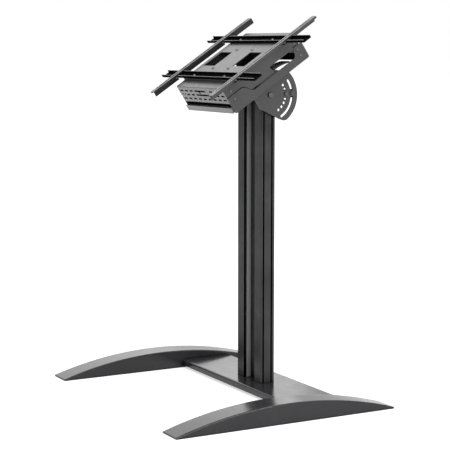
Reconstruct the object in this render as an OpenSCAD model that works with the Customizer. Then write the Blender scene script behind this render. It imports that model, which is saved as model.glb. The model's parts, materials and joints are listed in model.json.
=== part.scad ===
// Floor stand for a flat display, with a tilting head that carries two sliding display brackets.
// Axes: +X to the right seen from the front, +Y to the back, +Z up, the origin on the floor under the middle.
// Inside the head, X runs along the rails, Y runs up the display and Z runs out towards the display.

/* [Feet] */
// Length of each foot, front to back
foot_len = 780; // [600:5:1000]
// Width of each foot
foot_w = 91.5; // [60:0.5:140]
// Height of the arch at the middle of the foot
foot_peak = 64; // [50:0.5:110]
// Height of the foot at its two tips
foot_tip = 5.5; // [4.5:0.5:12]
// Sheet thickness of the foot shell
foot_t = 3; // [2:0.5:4]
// Bend radius along the arched edges
foot_edge_r = 4; // [3:0.5:8]
// Thickness of the sole plate
sole_t = 3; // [2:0.5:5]
// Distance from each tip to the end of the sole plate
sole_inset = 32; // [25:1:80]

/* [Cross plate] */
// Clear distance between the two feet
plate_w = 767.6; // [500:0.2:1000]
// Depth of the cross plate, front to back
plate_d = 191.6; // [150:0.2:260]
// Height of the top of the cross plate above the floor
plate_top = 28.8; // [26:0.2:40]
// Height of the bent skirt around the cross plate
plate_skirt = 20.6; // [18:0.2:24]
// Sheet thickness of the cross plate
plate_t = 4; // [3:0.5:6]
// Outer bend radius of the cross plate's long edges
plate_bend_r = 6; // [4:0.5:10]
// How far the middle of the cross plate lies behind the middle of the feet
plate_back = 163.4; // [80:0.2:220]
// Distance of each end bolt from the plate's front or rear edge
end_bolt_inset = 42; // [30:1:60]

/* [Column] */
// Width of the column extrusion
column_w = 162; // [130:1:220]
// Depth of the column extrusion
column_d = 52; // [48:1:70]
// Height of the column extrusion
column_h = 990; // [600:5:1500]
// How far the middle of the column lies behind the middle of the feet
column_back = 150.9; // [100:0.1:200]
// Radius of the column's outer corners
column_r = 4.5; // [2:0.5:8]
// Wall thickness of the extrusion
column_wall = 3.5; // [3:0.5:5]
// Width of the cable channel in the column's front
channel_w = 72.8; // [50:0.2:76]
// Depth of the cable channel
channel_d = 28; // [15:0.5:30]
// Opening of the slots in the column's sides
side_slot_w = 6; // [5:0.5:8]
// Distance of the front side slot's middle from the column's front
side_slot_front = 8.7; // [8.5:0.1:12]
// Distance of the rear side slot's middle from the column's front
side_slot_rear = 39.5; // [36:0.1:42]
// Thickness of the lips that hold a slot nut
slot_lip = 3; // [2:0.5:4]
// Depth of the pocket behind the lips
slot_pocket_d = 6.5; // [5.5:0.5:9]
// Width of the pocket behind the lips
slot_pocket_w = 11.4; // [10:0.2:14]
// Radius of the screw ports that take the base bolts
port_r = 4; // [3.5:0.1:5]

/* [Tilt joint] */
// Tilt of the display plane from level as shown
head_tilt = 33.5; // [20:0.5:60]
// Height of the pivot below the top of the column
pivot_drop = 27.1; // [20:0.1:40]
// Thickness of the yoke cheeks on the column's sides
cheek_t = 5; // [4:0.5:8]
// Half the width of a yoke cheek
cheek_half_w = 23; // [18:0.5:26]
// How far a yoke cheek reaches below the pivot
cheek_down = 46; // [40:1:60]
// Width of the cheek's rear arm
yoke_arm_w = 28; // [22:0.5:32]
// Reach of the cheek's rear arm from the pivot
yoke_arm_len = 98; // [96:0.5:110]
// Thickness of the thrust washer between cheek and quadrant
thrust_t = 2; // [1:0.5:4]
// Radius of the thrust washer
thrust_r = 20; // [14:0.5:24]
// Thickness of the quadrant plates
quadrant_t = 4; // [3:0.5:8]
// Outer radius of the quadrants
quadrant_r = 103; // [98:0.5:130]
// Radius of the circle of index holes
index_circle_r = 58.3; // [50:0.1:64]
// Angle between neighbouring index holes
index_step = 15; // [10:1:15]
// Number of index holes
index_count = 7; // [5:1:7]
// Radius of the index pins
index_pin_r = 4.5; // [3:0.1:5]
// Radius of the middle line of the curved clamp slot
clamp_circle_r = 82; // [74:0.5:88]
// Width of the curved clamp slot
clamp_slot_w = 8.6; // [8.4:0.1:10]
// Radius of the pivot bolts
pivot_r = 5; // [4:0.5:6]
// Radial running clearance of the pivot bolts
running_gap = 0.05; // [0.02:0.01:0.1]

/* [Quadrant flange] */
// Height of the flange's top above the pivot, along the head's Z
flange_top = 64.5; // [60:0.5:80]
// Thickness of the flange
flange_t = 5; // [3:0.5:6]
// Width of the flange across the head
flange_w = 50; // [40:1:60]
// Front end of the flange, ahead of the pivot
flange_front = 80; // [78:1:100]
// Place where the flange starts to curve down, behind the pivot
flange_bend = 60; // [58:1:80]
// Rear end of the flange, behind the pivot
flange_rear = 121; // [100:1:130]
// Bend radius of the flange's rear end
flange_bend_r = 160; // [100:5:300]

/* [Side arms] */
// Half the width of the head over the arms and the tray
head_half_w = 158; // [140:1:180]
// Thickness of the arms
arm_t = 3; // [2:0.5:4]
// Lower edge of the arms above the pivot
arm_low = 45; // [40:0.5:60]
// Upper edge of the slim stretch between the two pads
arm_strip = 71; // [60:0.5:74]
// Upper edge of the two pads
arm_pad = 102; // [90:0.5:110]
// Front edge of the arms, ahead of the pivot
arm_front = 167; // [150:1:180]
// Rear edge of the arms, behind the pivot
arm_rear = 160; // [155:1:170]
// Radius of the arms' outer corners
arm_corner_r = 5; // [3:0.5:12]

/* [Tray] */
// Sheet thickness of the tray
tray_t = 3; // [2:0.5:4]
// Top of the deck between the rails above the pivot
deck_top = 148; // [140:0.5:160]
// Step from the deck down to the front and rear strips
strip_drop = 6; // [4:0.5:8]
// Rear edge of the tray, behind the pivot
tray_rear = 152; // [145:1:155]
// Lower edge of the tray's sides
tray_low = 100; // [90:0.5:104]
// Lower edge of the lobe in each side
lobe_low = 77; // [75:0.5:90]
// Rear end of the lobe, behind the pivot
lobe_rear = 22; // [0:1:40]
// Seam between the arms' pads and the tray's sides
seam_gap = 3; // [0.4:0.1:4]
// Nearest edge of the two windows to the middle
window_in = 61; // [50:1:70]
// Farthest edge of the two windows from the middle
window_out = 139; // [120:1:145]
// Front edge of the windows, ahead of the pivot
window_front = 52; // [40:1:52]
// Rear edge of the windows, behind the pivot
window_rear = 28; // [20:1:30]

/* [Vent panel] */
// Sheet thickness of the vent panel
vent_t = 2; // [1.5:0.5:3]
// Lower edge of the vent panel above the pivot
vent_low = 82; // [78:0.5:88]
// Depth of the panel's upper and lower return flanges
vent_return = 14; // [8:1:20]
// Length of a vent slot
vent_slot_w = 22; // [16:0.5:26]
// Height of a vent slot
vent_slot_h = 6; // [4:0.5:8]
// Distance from the outermost vent slots to the panel's ends
vent_margin = 7.7; // [5:0.1:20]
// Pitch of the rows of vent slots
vent_pitch_n = 15.5; // [13:0.5:16]
// Number of vent slots in a full row
vent_columns = 9; // [5:2:9]
// Number of rows of vent slots
vent_rows = 3; // [3:1:3]
// Radius of the lock barrel
lock_r = 3; // [2.5:0.1:3.2]
// Place of the lock across the panel
lock_x = -16; // [-20:1:-14]

/* [Front lip and rear bar] */
// Lower edge of the front lip above the pivot
lip_low = 50; // [48:0.5:56]
// Height of the front lip
lip_h = 20; // [14:0.5:24]
// How far the lip stands ahead of the arms
lip_out = 7; // [3:0.5:10]
// Depth of the lip channel
lip_d = 22; // [16:1:30]
// Sheet thickness of the lip and the rear bar
bar_t = 3; // [2:0.5:4]
// Depth of the rear bar
rear_bar_d = 26; // [20:1:30]
// Height of the rear bar
rear_bar_h = 28; // [20:1:28]

/* [Rails] */
// Length of the two rails
rail_len = 640; // [500:5:800]
// Width of the rails
rail_w = 30; // [28:0.5:32]
// Height of the rails
rail_h = 9.5; // [9:0.5:12]
// Sheet thickness of the rails
rail_t = 2; // [1.5:0.5:2.5]
// Middle of the front rail, ahead of the pivot
rail_front = 113; // [105:1:116]
// Middle of the rear rail, behind the pivot
rail_rear = 99; // [90:1:102]
// Distance of each rail screw from the middle
rail_screw_x = 105; // [80:1:130]

/* [Display brackets] */
// Length of the display brackets
bracket_len = 450; // [400:5:700]
// Middle of the brackets, ahead of the pivot
bracket_shift = 7.5; // [0:0.5:20]
// Distance between the middles of the two brackets
bracket_span = 418; // [380:1:560]
// Width of the bracket's face
bracket_w = 24; // [20:0.5:30]
// Height of the bracket's inner side
bracket_h = 19; // [14:0.5:22]
// Height of the bracket's outer lip
bracket_lip_h = 7; // [5:0.5:9]
// Sheet thickness of the brackets
bracket_t = 2.5; // [2:0.5:3]
// Radius of the display holes
display_hole_r = 3.3; // [2.5:0.1:4]
// Distance between neighbouring display holes
display_pitch = 50; // [40:5:50]

/* [Hidden] */

// Overrun of every cut, and the general clearance of a bolt in its hole
over = 1;
bolt_gap = 0.3;
seat_gap = 0.3;

// Facets of full turns, of large rounds and of the long arch
$fn = 48;
wide_fn = 96;
arch_fn = 360;

// Width of a screw head's socket, as a share of its shank
socket_share = 0.8;

// Arch of the feet: radius and height of its centre
arch_rise = foot_peak - foot_tip;
arch_r = (pow(foot_len / 2, 2) + pow(arch_rise, 2)) / (2 * arch_rise);
arch_z = foot_peak - arch_r;
foot_x = (plate_w + foot_w) / 2;

// End bolts between the cross plate and the feet
end_bolt_r = 4;
end_bolt_head_r = 7.5;
end_bolt_head_h = 5.3;
end_bolt_nut_h = 6.5;
end_bolt_z = plate_top - plate_t - (plate_skirt - plate_t) / 2;
plate_front = plate_back - plate_d / 2;
plate_low = plate_top - plate_skirt;

// Stiffener under the cross plate
stiff_w = 240;
stiff_d = 110;
stiff_t = 4;

// Column bolts up into the screw ports
base_bolt_r = 3.9;
base_bolt_head_r = 6.8;
base_bolt_head_h = 4.6;
base_bolt_bite = 24;
base_washer_r = 8;
base_washer_t = 1.6;
port_boss = 3.5;
wall_slot_w = 6.5;
wall_slot_d = 5;
wall_slot_at = 0.5;
cell_in = channel_w / 2 + wall_slot_d + column_wall;
cell_out = column_w / 2 - slot_lip - slot_pocket_d - column_wall;
port_x = (cell_in + cell_out) / 2;
port_y = column_d / 2 - column_wall - port_r - port_boss + over;
port_mid_y = channel_d / 2;
rib_t = 3;
cap_t = 2;
cap_plug = 10;

// Pivot, and the frame of the head
column_top = plate_top + column_h;
pivot_z = column_top - pivot_drop;
pivot_y = column_back;
cheek_x = column_w / 2;
quadrant_x = cheek_x + cheek_t + thrust_t;
quadrant_out = quadrant_x + quadrant_t;
index_used = 2;
yoke_arm_angle = head_tilt - index_used * index_step;
index_span = (index_count - 1) * index_step;
index_hole_gap = 0.1;
slot_margin = 1.5;

// Pivot bolt head, nut and washers
pivot_head_r = 9.2;
pivot_head_h = 6;
pivot_nut_r = 9.2;
pivot_nut_h = 7;
index_head_r = 7;
index_head_h = 5.5;
index_tail = 2;
clamp_r = 4;
clamp_head_r = 6.6;
clamp_head_h = 4;
clamp_nut_h = 6;
clamp_washer_r = 8.5;
clamp_washer_t = 1.5;

// Countersunk screws that hold the cheeks, and their slot nuts
yoke_screw_r = 2.5;
yoke_screw_head_r = 5;
yoke_screw_head_h = 2.5;
yoke_screw_far = 32;
yoke_screw_near = 10;
slot_nut_len = 14;
slot_nut_t = 4;

// Risers between the quadrant flanges and the tray
riser_d = 24;
riser_t = 3;
riser_front_y = -65;
riser_rear_y = 43;
riser_screw_x = 69;
riser_top_screw_x = 52;
riser_screw_r = 2.5;
riser_head_r = 4.6;
riser_head_h = 2.6;
riser_nut_h = 4;

// Splices that hold the arms to the tray, and the arm screws
splice_t = 3;
splice_low = 56;
splice_high = 132;
splice_front_y = -158;
splice_front_d = 34;
splice_rear_y = 123;
splice_rear_d = 26;
arm_screw_r = 2.5;
arm_head_r = 4.6;
arm_head_h = 2.4;
arm_nut_h = 4;
arm_screw_front_y = -145;
arm_screw_rear_y = 133;
arm_screw_front_low = 87;
arm_screw_front_high = 116;
arm_screw_rear_low = 68;
arm_screw_rear_high = 90;
tray_screw_rear_high = 113;

// Heights in the head, from the deck down
strip_top = deck_top - strip_drop;
strip_low = strip_top - tray_t;
rail_base = deck_top;
rail_top = rail_base + rail_h;
bracket_stand = 2;
bracket_face = rail_top + bracket_t + bracket_stand;
deck_rim = 2;
deck_front = rail_front + rail_w / 2 + deck_rim;
deck_rear = rail_rear + rail_w / 2 + deck_rim;

// Rail screws, and the side screws and block nuts that clamp a bracket to the rails
rail_screw_r = 2.5;
rail_head_r = 4.6;
rail_head_h = 2.6;
rail_nut_h = 4;
bracket_screw_r = 2.5;
bracket_head_r = 4.4;
bracket_head_h = 2.6;
block_nut_len = 16;
block_nut_h = 9;
clamp_ahead = 6;
clamp_sink = 0.5;
clamp_n = bracket_face - bracket_h / 2 - clamp_sink;
notch_gap = 1;

// Slots between the display holes, and the floor of the tray's front space
face_slot_w = 6;
face_land = 2.7;
face_slot_len = display_pitch - 2 * (display_hole_r + face_land);
box_floor_t = 2;
box_floor_front = 2;
box_floor_d = 55;
box_floor_fold = 6;

// Lock in the vent panel
lock_gap = 0.05;
lock_flange_r = 5.4;
lock_flange_t = 1.5;
lock_body_r = 4.3;
lock_body_len = 14;
lock_cam_w = 8;
lock_cam_len = 34;
lock_cam_t = 2;
key_w = 1.2;
key_l = 4;
key_d = 2;
vent_top = strip_low - seat_gap;
vent_mid = vent_low + (vent_top - vent_low) / 2;
vent_half_w = head_half_w - tray_t - seat_gap;
vent_half_count = (vent_columns - 1) / 2;
vent_pitch_x = (vent_half_w - vent_margin - vent_slot_w / 2) / vent_half_count;

// Ring of a washer, standing on its lower face
module ring(outer, inner, t) {
    difference() {
        cylinder(r = outer, h = t);
        translate([0, 0, -over]) cylinder(r = inner, h = t + 2 * over);
    }
}

// Hexagon bolt along +Z: the head's underside at zero, the shank downwards
module hex_bolt(shank_r, shank_len, head_r, head_h) {
    cylinder(r = head_r, h = head_h, $fn = 6);
    translate([0, 0, -shank_len]) cylinder(r = shank_r, h = shank_len + over);
}

// Screw with a low round head and a hexagon socket, set as hex_bolt
module round_screw(shank_r, shank_len, head_r, head_h) {
    difference() {
        union() {
            cylinder(r1 = head_r, r2 = head_r - head_h / 3, h = head_h);
            translate([0, 0, -shank_len]) cylinder(r = shank_r, h = shank_len + head_h / 4);
        }
        translate([0, 0, head_h / 2]) cylinder(r = shank_r * socket_share, h = head_h, $fn = 6);
    }
}

// Hexagon nut with its bore, standing on its lower face
module hex_nut(bore_r, outer_r, t) {
    difference() {
        cylinder(r = outer_r, h = t, $fn = 6);
        translate([0, 0, -over]) cylinder(r = bore_r, h = t + 2 * over);
    }
}

// Outline with both upper corners rounded
module round_top(w, h, r) {
    square([w, h - r]);
    translate([r, 0]) square([w - 2 * r, h]);
    translate([r, h - r]) circle(r = r);
    translate([w - r, h - r]) circle(r = r);
}

// Rectangle with four round corners, centred
module round_rect(w, h, r) {
    square([w - 2 * r, h], center = true);
    square([w, h - 2 * r], center = true);
    for (sx = [-1, 1], sy = [-1, 1]) translate([sx * (w / 2 - r), sy * (h / 2 - r)]) circle(r = r);
}

// Slot outline with half-round ends, along X and centred
module slot_outline(len, w) {
    square([len - w, w], center = true);
    for (s = [-1, 1]) translate([s * (len - w) / 2, 0]) circle(d = w);
}

// Sweeps an outline drawn in Y and Z along X, from x0 over the length t
module along_x(x0, t) {
    translate([x0, 0, 0]) rotate([90, 0, 90]) linear_extrude(t) children();
}

// Turns +Z to +X at a point
module facing_x(x, y, z) {
    translate([x, y, z]) rotate([0, 90, 0]) children();
}

// Places its children in the frame of the tilted head
module in_head() {
    translate([0, pivot_y, pivot_z]) rotate([head_tilt, 0, 0]) children();
}

// Places its children at the pivot, level with the floor
module at_pivot() {
    translate([0, pivot_y, pivot_z]) children();
}

// Right-hand piece as drawn, or its mirror image on the left
module on_side(side) {
    if (side > 0) children();
    else mirror([1, 0, 0]) children();
}

// Disc with a rounded rim, cut by the floor and the tips: the arched body of a foot
module arched_body(w, r, edge_r, len, low) {
    intersection() {
        translate([0, 0, arch_z]) rotate([0, 90, 0]) rotate_extrude($fn = arch_fn) {
            translate([0, -w / 2]) square([r - edge_r, w]);
            translate([0, -w / 2 + edge_r]) square([r, w - 2 * edge_r]);
            for (s = [-1, 1]) translate([r - edge_r, s * (w / 2 - edge_r)]) circle(r = edge_r);
        }
        translate([-w, -len / 2, low]) cube([2 * w, len, foot_peak - low]);
    }
}

module foot_shell() {
    translate([foot_x, 0, 0]) difference() {
        arched_body(foot_w, arch_r, foot_edge_r, foot_len, 0);
        arched_body(foot_w - 2 * foot_t, arch_r - foot_t, foot_edge_r - foot_t / 2, foot_len - 2 * foot_t,
            -over);
        for (y = end_bolt_ys()) facing_x(-foot_w / 2 - over, y, end_bolt_z)
            cylinder(r = end_bolt_r + bolt_gap, h = foot_t + 2 * over);
    }
}

function end_bolt_ys() = [plate_front + end_bolt_inset, plate_front + plate_d - end_bolt_inset];

module foot_sole() {
    translate([foot_x - foot_w / 2 + foot_t, -foot_len / 2 + sole_inset, 0])
        cube([foot_w - 2 * foot_t, foot_len - 2 * sole_inset, sole_t]);
}

module left_foot() {
    color("#1b1c1e") on_side(-1) foot_shell();
}

module right_foot() {
    color("#1b1c1e") on_side(1) foot_shell();
}

module left_foot_sole() {
    color("#26272a") on_side(-1) foot_sole();
}

module right_foot_sole() {
    color("#26272a") on_side(1) foot_sole();
}

// Places of the column's screw ports, seen from above
function port_places() = concat(
    [for (sx = [-1, 1], sy = [-1, 1]) [sx * port_x, sy * port_y]],
    [[0, port_mid_y]]);

module cross_plate() {
    color("#1d1e20") difference() {
        translate([0, plate_front, plate_low]) along_x(-plate_w / 2, plate_w)
            round_top(plate_d, plate_skirt, plate_bend_r);
        translate([0, plate_front + plate_t, plate_low - over])
            along_x(-plate_w / 2 + plate_t, plate_w - 2 * plate_t)
                round_top(plate_d - 2 * plate_t, plate_skirt - plate_t + over, plate_bend_r - plate_t / 2);
        for (p = port_places()) translate([p[0], column_back + p[1], plate_low])
            cylinder(r = base_bolt_r + bolt_gap, h = plate_skirt + over);
        for (y = end_bolt_ys()) facing_x(-plate_w / 2 - over, y, end_bolt_z)
            cylinder(r = end_bolt_r + bolt_gap, h = plate_w + 2 * over);
    }
}

module plate_stiffener() {
    color("#26272a") translate([0, column_back, plate_top - plate_t - stiff_t]) difference() {
        translate([-stiff_w / 2, -stiff_d / 2, 0]) cube([stiff_w, stiff_d, stiff_t]);
        for (p = port_places()) translate([p[0], p[1], -over])
            cylinder(r = base_bolt_r + bolt_gap, h = stiff_t + 2 * over);
    }
}

module foot_bolts() {
    color("silver") for (s = [-1, 1], y = end_bolt_ys()) on_side(s)
        translate([plate_w / 2 - plate_t, y, end_bolt_z]) rotate([0, -90, 0])
            hex_bolt(end_bolt_r, plate_t + foot_t + end_bolt_nut_h, end_bolt_head_r, end_bolt_head_h);
}

module foot_nuts() {
    color("silver") for (s = [-1, 1], y = end_bolt_ys()) on_side(s)
        facing_x(plate_w / 2 + foot_t, y, end_bolt_z) hex_nut(end_bolt_r, end_bolt_head_r, end_bolt_nut_h);
}

// Pocket of a side slot: its opening and the wider space behind the lips, cut from the outer side
module side_slot(y) {
    translate([column_w / 2 - slot_lip - over, y - side_slot_w / 2])
        square([slot_lip + 2 * over, side_slot_w]);
    translate([column_w / 2 - slot_lip - slot_pocket_d, y - slot_pocket_w / 2])
        square([slot_pocket_d, slot_pocket_w]);
}

// Section of the column, front towards -Y
module column_section() {
    difference() {
        round_rect(column_w, column_d, column_r);
        translate([-channel_w / 2, -column_d / 2 - over]) square([channel_w, channel_d + over]);
        for (s = [-1, 1]) mirror([s > 0 ? 0 : 1, 0]) {
            side_slot(-column_d / 2 + side_slot_front);
            side_slot(-column_d / 2 + side_slot_rear);
            translate([channel_w / 2 - over, -column_d / 2 + wall_slot_at])
                square([wall_slot_d + over, wall_slot_w]);
            difference() {
                translate([cell_in, -column_d / 2 + column_wall])
                    square([cell_out - cell_in, column_d - 2 * column_wall]);
                for (sy = [-1, 1]) translate([port_x, sy * port_y]) circle(r = port_r + port_boss);
            }
            for (sy = [-1, 1]) translate([port_x, sy * port_y]) circle(r = port_r);
        }
        difference() {
            translate([-channel_w / 2 + column_wall, -column_d / 2 + channel_d + column_wall])
                square([channel_w - 2 * column_wall, column_d - channel_d - 2 * column_wall]);
            translate([-rib_t / 2, -column_d / 2]) square([rib_t, column_d]);
            translate([0, port_mid_y]) circle(r = port_r + port_boss);
        }
        translate([0, port_mid_y]) circle(r = port_r);
    }
}

module column() {
    color("#202124") difference() {
        translate([0, column_back, plate_top]) linear_extrude(column_h) column_section();
        at_pivot() for (s = [-1, 1]) on_side(s) facing_x(cell_out - over, 0, 0)
            cylinder(r = pivot_r + bolt_gap, h = column_w);
    }
}

// Cap that closes the column's top, with plugs that stand in the two side cells
module column_cap() {
    color("#18191b") translate([0, column_back, column_top]) {
        linear_extrude(cap_t) difference() {
            round_rect(column_w, column_d, column_r);
            translate([-channel_w / 2, -column_d / 2 - over]) square([channel_w, channel_d + over]);
        }
        for (s = [-1, 1]) on_side(s) translate([cell_out - cap_plug - seat_gap, -port_y / 2, -cap_plug])
            cube([cap_plug, port_y, cap_plug + cap_t / 2]);
    }
}

module column_bolts() {
    color("silver") for (p = port_places())
        translate([p[0], column_back + p[1], plate_top - plate_t - stiff_t - base_washer_t])
            rotate([180, 0, 0]) hex_bolt(base_bolt_r, base_washer_t + stiff_t + plate_t + base_bolt_bite,
                base_bolt_head_r, base_bolt_head_h);
}

module column_washers() {
    color("silver") for (p = port_places())
        translate([p[0], column_back + p[1], plate_top - plate_t - stiff_t - base_washer_t])
            ring(base_washer_r, base_bolt_r + bolt_gap, base_washer_t);
}

// Cheek outline in Y and Z around the pivot: an upright part and an arm to the rear
module cheek_outline() {
    translate([-cheek_half_w, -cheek_down]) square([2 * cheek_half_w, cheek_down]);
    circle(r = cheek_half_w);
    rotate(yoke_arm_angle) {
        translate([0, -yoke_arm_w / 2]) square([yoke_arm_len - yoke_arm_w / 2, yoke_arm_w]);
        translate([yoke_arm_len - yoke_arm_w / 2, 0]) circle(d = yoke_arm_w);
    }
}

// Places of the cheek screws in Y and Z around the pivot, on the column's two side slots
function yoke_screw_places() = [
    for (y = [side_slot_front - column_d / 2, side_slot_rear - column_d / 2])
        for (z = [-yoke_screw_far, -yoke_screw_near]) [y, z]];

module yoke_cheek() {
    at_pivot() difference() {
        along_x(cheek_x, cheek_t) cheek_outline();
        facing_x(cheek_x - over, 0, 0) cylinder(r = pivot_r + running_gap, h = cheek_t + 2 * over);
        rotate([yoke_arm_angle, 0, 0]) {
            facing_x(cheek_x - over, index_circle_r, 0)
                cylinder(r = index_pin_r + index_hole_gap, h = cheek_t + 2 * over);
            facing_x(cheek_x - over, clamp_circle_r, 0)
                cylinder(r = clamp_r + bolt_gap, h = cheek_t + 2 * over);
        }
        for (p = yoke_screw_places()) {
            facing_x(cheek_x - over, p[0], p[1])
                cylinder(r = yoke_screw_r + bolt_gap, h = cheek_t + 2 * over);
            facing_x(cheek_x + cheek_t - yoke_screw_head_h - bolt_gap, p[0], p[1])
                cylinder(r1 = yoke_screw_r + bolt_gap, r2 = yoke_screw_head_r + bolt_gap,
                    h = yoke_screw_head_h + bolt_gap);
        }
    }
}

module left_yoke_cheek() {
    color("#1f2022") on_side(-1) yoke_cheek();
}

module right_yoke_cheek() {
    color("#1f2022") on_side(1) yoke_cheek();
}

module yoke_screws() {
    screw_len = cheek_t + slot_lip + slot_nut_t;
    color("silver") for (s = [-1, 1]) on_side(s) at_pivot() for (p = yoke_screw_places())
        facing_x(cheek_x + cheek_t - yoke_screw_head_h, p[0], p[1]) {
            cylinder(r1 = yoke_screw_r, r2 = yoke_screw_head_r, h = yoke_screw_head_h);
            translate([0, 0, yoke_screw_head_h - screw_len])
                cylinder(r = yoke_screw_r, h = screw_len - yoke_screw_head_h);
        }
}

module yoke_slot_nuts() {
    nut_w = slot_pocket_w - 2 * seat_gap;
    color("silver") for (s = [-1, 1]) on_side(s) at_pivot() for (p = yoke_screw_places()) difference() {
        translate([cheek_x - slot_lip - slot_nut_t, p[0] - nut_w / 2, p[1] - slot_nut_len / 2])
            cube([slot_nut_t, nut_w, slot_nut_len]);
        facing_x(cheek_x - slot_lip - slot_nut_t - over, p[0], p[1])
            cylinder(r = yoke_screw_r, h = slot_nut_t + 2 * over);
    }
}

module pivot_bolt() {
    at_pivot() facing_x(quadrant_out, 0, 0)
        hex_bolt(pivot_r, quadrant_out - cell_out + pivot_nut_h, pivot_head_r, pivot_head_h);
}

module left_pivot_bolt() {
    color("#9a9c9f") on_side(-1) pivot_bolt();
}

module right_pivot_bolt() {
    color("#9a9c9f") on_side(1) pivot_bolt();
}

module pivot_nuts() {
    color("silver") for (s = [-1, 1]) on_side(s) at_pivot() facing_x(cell_out - pivot_nut_h, 0, 0)
        hex_nut(pivot_r, pivot_nut_r, pivot_nut_h);
}

module thrust_washers() {
    color("#d8d8d4") for (s = [-1, 1]) on_side(s) at_pivot() facing_x(cheek_x + cheek_t, 0, 0)
        ring(thrust_r, pivot_r + running_gap, thrust_t);
}

// Places its children on the cheek's arm at a distance from the pivot, with +Z outwards at x
module on_yoke_arm(x, r) {
    at_pivot() rotate([yoke_arm_angle, 0, 0]) facing_x(x, r, 0) children();
}

module clamp_bolts() {
    color("#3a3b3e") for (s = [-1, 1]) on_side(s) on_yoke_arm(quadrant_out + clamp_washer_t, clamp_circle_r)
        round_screw(clamp_r, clamp_washer_t + quadrant_out - cheek_x + clamp_nut_h,
            clamp_head_r, clamp_head_h);
}

module clamp_washers() {
    color("#3a3b3e") for (s = [-1, 1]) on_side(s) {
        on_yoke_arm(quadrant_out, clamp_circle_r) ring(clamp_washer_r, clamp_r + bolt_gap, clamp_washer_t);
        on_yoke_arm(cheek_x + cheek_t, clamp_circle_r) ring(clamp_washer_r, clamp_r + bolt_gap, thrust_t);
    }
}

module clamp_nuts() {
    color("silver") for (s = [-1, 1]) on_side(s) on_yoke_arm(cheek_x - clamp_nut_h, clamp_circle_r)
        hex_nut(clamp_r, clamp_head_r, clamp_nut_h);
}

module index_pin() {
    on_yoke_arm(quadrant_out, index_circle_r) {
        cylinder(r1 = index_head_r, r2 = index_head_r - index_head_h / 4, h = index_head_h);
        translate([0, 0, cheek_x - index_tail - quadrant_out])
            cylinder(r = index_pin_r, h = quadrant_out - cheek_x + index_tail + over);
    }
}

module left_index_pin() {
    color("#8d8f92") on_side(-1) index_pin();
}

module right_index_pin() {
    color("#8d8f92") on_side(1) index_pin();
}

// Outline of the quadrant below its neck, in shares of its radius, front edge first
lobe_shares = [[-0.54, 0.475], [-0.54, -0.185], [-0.43, -0.35], [-0.136, -0.835], [-0.04, -0.95], [0.06, -1],
    [0.06, -1.1], [1.1, -1.1], [1.1, 0.31], [0.71, 0.475]];
// Outline of the neck between the lobe and the flange, in shares of the radius
neck_low_shares = [-0.06, 0.71];
neck_high_shares = [-0.21, 0.56];
neck_share = 0.475;

// Quadrant plate outline in the head's Y and Z, with the index holes and the curved slot
module quadrant_outline() {
    difference() {
        union() {
            intersection() {
                circle(r = quadrant_r, $fn = wide_fn);
                polygon([for (p = lobe_shares) p * quadrant_r]);
            }
            polygon([
                [neck_low_shares[0] * quadrant_r, neck_share * quadrant_r - over],
                [neck_low_shares[1] * quadrant_r, neck_share * quadrant_r - over],
                [neck_high_shares[1] * quadrant_r, flange_top - flange_t / 2],
                [neck_high_shares[0] * quadrant_r, flange_top - flange_t / 2]]);
        }
        circle(r = pivot_r + running_gap);
        for (i = [0 : index_count - 1]) rotate(-i * index_step) translate([index_circle_r, 0])
            circle(r = index_pin_r + index_hole_gap);
        clamp_slot_outline();
    }
}

// Curved slot that the clamp bolt runs in while the head tilts
module clamp_slot_outline() {
    reach = 2 * clamp_circle_r;
    intersection() {
        difference() {
            circle(r = clamp_circle_r + clamp_slot_w / 2, $fn = wide_fn);
            circle(r = clamp_circle_r - clamp_slot_w / 2, $fn = wide_fn);
        }
        polygon([[0, 0], for (i = [0 : 4]) reach * slot_ray(i / 4)]);
    }
    for (a = [slot_margin, slot_margin - slot_sweep]) rotate(a) translate([clamp_circle_r, 0])
        circle(d = clamp_slot_w - 2 * slot_end_ease);
}
slot_end_ease = 0.2;
slot_sweep = index_span + 2 * slot_margin;
// Direction from the pivot to a place along the slot, given as a share of its sweep
function slot_ray(share) = [cos(slot_margin - share * slot_sweep), sin(slot_margin - share * slot_sweep)];

// Profile of the flange in the head's Y and Z: flat, with a rear end that curves down
module flange_outline() {
    translate([-flange_front, flange_top - flange_t]) square([flange_front + flange_bend, flange_t]);
    intersection() {
        translate([flange_bend, flange_top - flange_bend_r]) difference() {
            circle(r = flange_bend_r, $fn = wide_fn);
            circle(r = flange_bend_r - flange_t, $fn = wide_fn);
        }
        translate([flange_bend, flange_top - flange_bend_r])
            square([flange_rear - flange_bend, flange_bend_r + over]);
    }
}

module quadrant() {
    in_head() difference() {
        union() {
            along_x(quadrant_x, quadrant_t) quadrant_outline();
            along_x(quadrant_out - flange_w, flange_w) flange_outline();
        }
        for (y = [riser_front_y, riser_rear_y]) translate([riser_screw_x, y, flange_top - flange_t - over])
            cylinder(r = riser_screw_r + bolt_gap, h = flange_t + 2 * over);
    }
}

module left_quadrant() {
    color("#232427") on_side(-1) quadrant();
}

module right_quadrant() {
    color("#232427") on_side(1) quadrant();
}

// Channel that stands on both quadrant flanges and carries the tray
module riser(y, open_dir) {
    riser_h = deck_top - tray_t - flange_top;
    color("#232427") in_head() difference() {
        along_x(-quadrant_out, 2 * quadrant_out) translate([y - riser_d / 2, flange_top]) difference() {
            square([riser_d, riser_h]);
            translate([open_dir > 0 ? riser_t : -over, riser_t])
                square([riser_d - riser_t + over, riser_h - 2 * riser_t]);
        }
        for (s = [-1, 1]) {
            translate([s * riser_screw_x, y, flange_top - over])
                cylinder(r = riser_screw_r + bolt_gap, h = riser_t + 2 * over);
            translate([s * riser_top_screw_x, y, deck_top - tray_t - riser_t - over])
                cylinder(r = riser_screw_r + bolt_gap, h = riser_t + 2 * over);
        }
    }
}

module front_riser() {
    riser(riser_front_y, -1);
}

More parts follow.
